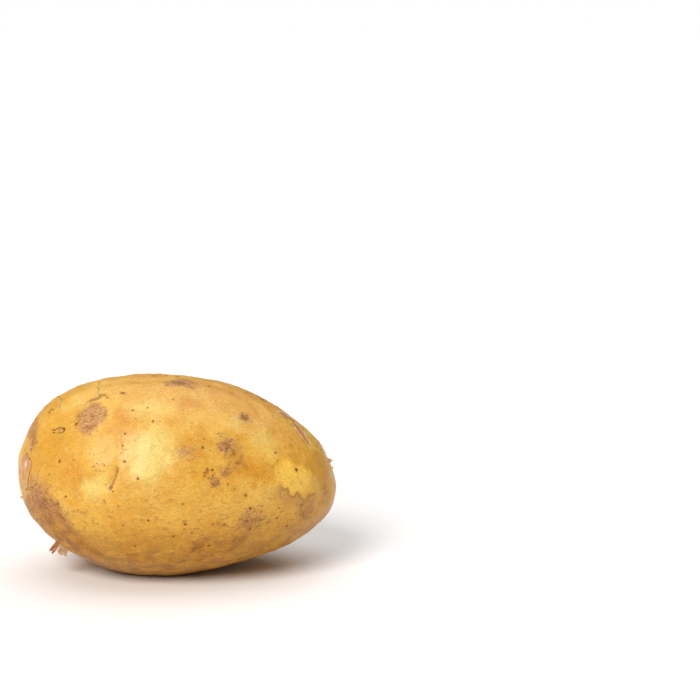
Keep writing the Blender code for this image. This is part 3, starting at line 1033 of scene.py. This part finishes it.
# Colours as they look when lit: red, green and blue from 0 to 255
TINTS = {
    "gold": (236, 169, 54), "pale gold": (251, 196, 84), "cream_and_highlight": (255, 222, 124),
    "orange": (226, 146, 34), "olive_and_shadow": (206, 152, 44), "freckle": (190, 114, 32),
    "pale fleck": (255, 218, 128), "spot": (150, 86, 24), "bruise": (176, 116, 62),
    "deep bruise": (128, 76, 36), "soil_and_shade": (144, 88, 30), "haze": (206, 154, 92),
    "scuff": (190, 124, 76), "pale scuff": (220, 160, 108), "scuff crack": (140, 80, 34),
    "scuff speck": (120, 70, 34), "scuff grain": (244, 202, 162), "torn skin": (204, 148, 76),
    "torn edge": (168, 108, 40), "crease_shade": (196, 112, 36), "smudge": (156, 92, 22),
    "underside_shade": (170, 108, 10), "pale underside shade": (226, 162, 34), "pore halo": (194, 124, 40),
    "brown": (178, 104, 22), "dark brown": (104, 52, 6), "dry film": (206, 138, 98),
    "dry edge and glint": (255, 236, 206), "fibre": (150, 92, 26),
}
# Reflected colour of the bare yellow skin where the outer skin is gone
BARE_YELLOW = (0.92, 0.56, 0.085, 1.0)
# What is left of the light's red, green and blue low down, near the floor
LOW_SHADE = (1.0, 0.95, 0.36, 1.0)


def paint(tint):
    """Reflected colour of a tint: display values made linear, times the share given back."""
    def linear(value):
        share = value / 255.0
        return share / 12.92 if share <= 0.04045 else ((share + 0.055) / 1.055) ** 2.4
    return tuple(SKIN_GIVES_BACK * linear(value) for value in TINTS[tint]) + (1.0,)


def skin_finish():
    """Thin waxy potato skin. Golden yellow with pale, orange and olive areas, freckles and a fine
    grain; rough buff scuffs with a crackle of brown lines; soft brown bruises; clear yellow areas
    beside torn outer skin; dark pores. The broad pale areas on the front are partly a painted
    highlight, and the olive ones low on the slim end's front partly a painted shadow. The crease
    has painted shade, and the underside is browner and darker with painted shade. Noise sizes are
    in millimetres."""
    material = bpy.data.materials.new("potato_skin_finish")
    f = Finish(material)
    place = f.place_in_mm()
    stretched = f.add("ShaderNodeMapping", None, {"Vector": place, "Scale": (0.55, 1.0, 1.0)})
    drawn_out = f.add("ShaderNodeMapping", None, {"Vector": place, "Scale": (0.22, 1.25, 1.25)})
    clouds = f.noise(place, 15.0, 2.0, 0.5)
    mottle = f.noise(place, 4.0, 4.0, 0.62, 0.5)
    speckle = f.noise(stretched, 1.1, 4.0, 0.66)
    grain = f.noise(stretched, 0.42, 2.0, 0.6)
    fibres = f.noise(drawn_out, 1.0, 3.0, 0.6, 0.6)
    mottling, speckling, graining = mottle - 0.5, speckle - 0.5, grain - 0.5
    wobble = f.add("ShaderNodeTexNoise", None, {"Vector": place, "Scale": 0.7}, output=1)
    bent = f.add("ShaderNodeVectorMath", None, {0: place, 1: wobble})
    net = f.cells(bent, 1.2, "DISTANCE_TO_EDGE")

    # Broad areas of colour, partly a painted highlight and a painted shadow
    tone = (clouds * 0.5 + mottle * 0.5).step(0.38, 0.62)
    f.colour = f.blend(tone, paint("gold"), paint("pale gold"))
    # Cream, which on the front is partly a painted highlight
    cream_and_highlight = (f.value("cream_and_highlight") + mottling * 0.4).step(0.10, 0.85)
    f.coat(cream_and_highlight * 0.92, paint("cream_and_highlight"))
    orange = (f.value("orange") + mottling * 0.7).step(0.20, 1.0)
    f.coat(orange * 0.66, paint("orange"))
    # Olive, which low on the front of the slim end is partly a painted shadow
    olive_and_shadow = (f.value("olive_and_shadow") + mottling * 0.7).step(0.20, 1.0)
    f.coat(olive_and_shadow * 0.60, paint("olive_and_shadow"))
    clear = (f.value("clear") + mottling * 0.5).step(0.25, 0.75)
    clear = clear * (1.0 - f.value("torn").step(0.1, 0.4))
    f.coat(clear * 0.92, BARE_YELLOW)

    # Freckles, flecks and small round spots
    freckles = speckle.step(0.52, 0.66) * (0.25 + mottle.step(0.38, 0.62) * 0.75)
    f.coat(freckles * (1.0 - cream_and_highlight * 0.6) * 0.60, paint("freckle"))
    f.coat((1.0 - speckle).step(0.54, 0.68) * 0.35, paint("pale fleck"))
    spots = f.cells(bent, 2.1).step(0.17, 0.06) * f.noise(place, 6.5, 2.0).step(0.45, 0.60)
    f.coat(spots * 0.65, paint("spot"))

    # Bruises, soil speckle that is partly painted shade low down, and haze
    bruise = (f.value("bruise") + mottling * 0.6 + speckling * 0.5).step(0.15, 1.0)
    f.coat(bruise * 0.80, f.blend(mottle.step(0.40, 0.60), paint("deep bruise"), paint("bruise")))
    low = f.value("low")
    # Soil speckle in the bruises and low down, where it is partly painted shade
    soil_and_shade = speckle.step(0.46, 0.62) * 0.6 + fibres.step(0.48, 0.66) * 0.5
    soil_and_shade = soil_and_shade * mottle.step(0.34, 0.62) * (low * 0.85 + bruise * 0.4)
    f.coat(soil_and_shade.clamped(), paint("soil_and_shade"))
    haze = f.noise(stretched, 2.2, 3.0, 0.6).step(0.50, 0.66) * low * (1.0 - f.value("under") * 0.6)
    f.coat(haze * 0.24, paint("haze"))

    # Rough scuffs
    russet = (f.value("russet") + speckling * 0.8 + mottling * 0.6).step(0.28, 0.78)
    scuff = f.blend(mottle.step(0.35, 0.65), paint("scuff"), paint("pale scuff"))
    scuff = f.blend(net.step(0.22, 0.02) * 0.40, scuff, paint("scuff crack"))
    scuff = f.blend(speckle.step(0.53, 0.64) * 0.75, scuff, paint("scuff speck"))
    scuff = f.blend(grain.step(0.57, 0.68) * 0.60, scuff, paint("scuff grain"))
    f.coat(russet * 0.78, scuff)

    # Torn outer skin, painted shade in the crease, smudges, painted shade underneath and low down, pores and
    # dry skin with painted glints
    torn = (f.value("torn") + mottling * 0.4).step(0.15, 0.85)
    f.coat(torn * 0.55, paint("torn skin"))
    f.coat(f.value("torn_edge") * 0.55, paint("torn edge"))
    # Painted shade along the hollow of the crease
    crease_shade = (f.value("crease_shade") + speckling * 0.6).step(0.30, 0.95)
    f.coat(crease_shade * 0.75, paint("crease_shade"))
    smudge = (f.value("smudge") + speckling * 1.3 + graining * 0.5).step(0.40, 0.95)
    f.coat(smudge * 0.70, paint("smudge"))
    # Painted shade on the skin that faces down, in earth browns
    under = (f.value("under") + mottling * 0.6).step(0.05, 0.9)
    underside_shade = f.blend(mottle.step(0.35, 0.65), paint("underside_shade"), paint("pale underside shade"))
    f.coat((under * (0.78 - cream_and_highlight * 0.40)).clamped(), underside_shade)
    f.coat(f.value("halo").step(0.25, 1.0) * 0.30, paint("pore halo"))
    dark = (f.value("dark") + graining * 0.4).step(0.05, 0.95)
    f.coat(dark.step(0.0, 0.6) * 0.45, paint("brown"))
    f.coat(dark * 0.90, paint("dark brown"))
    # Painted shade low down, near the floor
    f.coat(low * 0.65, LOW_SHADE, "MULTIPLY")
    film = f.value("film")
    f.coat(film * 0.72, paint("dry film"))
    # Pale dry skin, which on the crests and peel edges is partly a painted highlight
    f.coat(f.value("pale") * 0.85, paint("dry edge and glint"))

    # Fine fibres and grain over everything, strongest where the skin is worn
    worn = (russet * 0.6 + olive_and_shadow * 0.5 + under + 0.25).clamped()
    f.coat(fibres.step(0.56, 0.66) * worn * 0.40, paint("fibre"))
    shade = 1.0 + (graining * 0.60 + speckling * 0.55) * (0.9 + worn * 0.8)
    shade = shade + (fibres - 0.5) * worn * 0.35
    f.coat(1.0, f.add("ShaderNodeCombineColor", None, {0: shade, 1: shade, 2: shade}), "MULTIPLY")

    rough = 0.39 + speckling * 0.28 + russet * 0.18 + olive_and_shadow * 0.08 + dark * 0.4 - film * 0.18
    lumps = mottle * 0.26 + speckle * 0.24 + grain * 0.07 + fibres * worn * 0.08
    lumps = lumps + russet * net.step(0.0, 0.25) * 0.07
    normal = f.add("ShaderNodeBump", None, {"Strength": 0.8, "Distance": MM, "Height": lumps})
    f.feed(Base_Color=f.colour, Roughness=rough.clamped(), Normal=normal)
    f.feed(Subsurface_Weight=0.10, Subsurface_Radius=(1.0, 0.45, 0.12), Subsurface_Scale=0.003)
    f.feed(Coat_Weight=0.14 * (1.0 - dark) * (1.0 - russet * 0.7), Coat_Roughness=0.30, IOR=1.40)
    return material


# ---- Stage ----
LENS, SENSOR = 100.0, 36.0
VIEW_ELEVATION = math.radians(10.0)
VIEW_WIDTH = 0.2198
# The middle of the view lies this far to the right of and above the potato's middle
VIEW_OFFSET = (0.0543, 0.0383)
FLOOR_WHITE = (0.93, 0.92, 0.915, 1.0)
FLOOR_REACH = 12.0
# Lights: name, direction towards it, spread in degrees, strength, colour
SUNS = (
    ("key", (-0.45, -0.80, 0.75), 34.0, 2.7, (1.0, 0.985, 0.96)),
    ("top", (0.05, 0.28, 1.0), 80.0, 1.75, (1.0, 1.0, 1.0)),
)
ROOM_LIGHT = 0.15


def make_camera():
    """Camera in front of the potato, looking slightly down, with the potato low on the left."""
    back = Vector((0.0, -math.cos(VIEW_ELEVATION), math.sin(VIEW_ELEVATION)))
    up = Vector((0.0, math.sin(VIEW_ELEVATION), math.cos(VIEW_ELEVATION)))
    middle = Vector((0.0, 0.0, 0.5 * CAD_HIGH[2]))
    aim = middle + Vector((VIEW_OFFSET[0], 0.0, 0.0)) + up * VIEW_OFFSET[1]
    data = bpy.data.cameras.new("camera")
    data.lens, data.sensor_width = LENS, SENSOR
    data.clip_start = 0.01
    camera = bpy.data.objects.new("camera", data)
    camera.location = aim + back * (VIEW_WIDTH * LENS / SENSOR)
    camera.rotation_euler = back.to_track_quat("Z", "Y").to_euler()
    bpy.context.scene.collection.objects.link(camera)
    bpy.context.scene.camera = camera


def make_floor():
    """A wide white floor."""
    material = bpy.data.materials.new("floor_white")
    Finish(material).feed(Base_Color=FLOOR_WHITE, Roughness=0.85, Specular_IOR_Level=0.1)
    signs = np.array([(-1.0, -1.0, 0.0), (1.0, -1.0, 0.0), (1.0, 1.0, 0.0), (-1.0, 1.0, 0.0)])
    add_piece("floor", signs * FLOOR_REACH, [[0, 1, 2, 3]], material)


def soft_sun(name, towards, spread, strength, colour):
    """A wide soft light from far away in the direction given, its spread in degrees."""
    data = bpy.data.lights.new(name, "SUN")
    data.angle, data.energy, data.color = math.radians(spread), strength, colour
    light = bpy.data.objects.new(name, data)
    light.rotation_euler = Vector(towards).to_track_quat("Z", "Y").to_euler()
    bpy.context.scene.collection.objects.link(light)


def make_lights():
    """A large key light at the upper left of the front, a soft top light, and a room that is seen
    white but lights the potato more weakly."""
    for sun in SUNS:
        soft_sun(*sun)
    world = bpy.data.worlds.new("white_room")
    room = Finish(world, "Background")
    seen_directly = room.add("ShaderNodeLightPath")
    room.feed(Color=(1.0, 1.0, 1.0, 1.0), Strength=ROOM_LIGHT + (1.0 - ROOM_LIGHT) * seen_directly)
    bpy.context.scene.world = world
    bpy.context.scene.view_settings.view_transform = "Standard"


# ---- The finished potato ----
def ride_on_potato(piece):
    """Every piece is part of the one tuber."""
    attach(piece, "root")


skin_material = skin_finish()
skin = make_skin(skin_material)
makers = (make_pores, make_eyes, make_hairlines, make_dry_films, make_peels, make_crumbs, make_scraps)
for piece in [skin] + [make(skin_material) for make in makers]:
    ride_on_potato(piece)
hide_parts("potato")

make_floor()
make_lights()
make_camera()
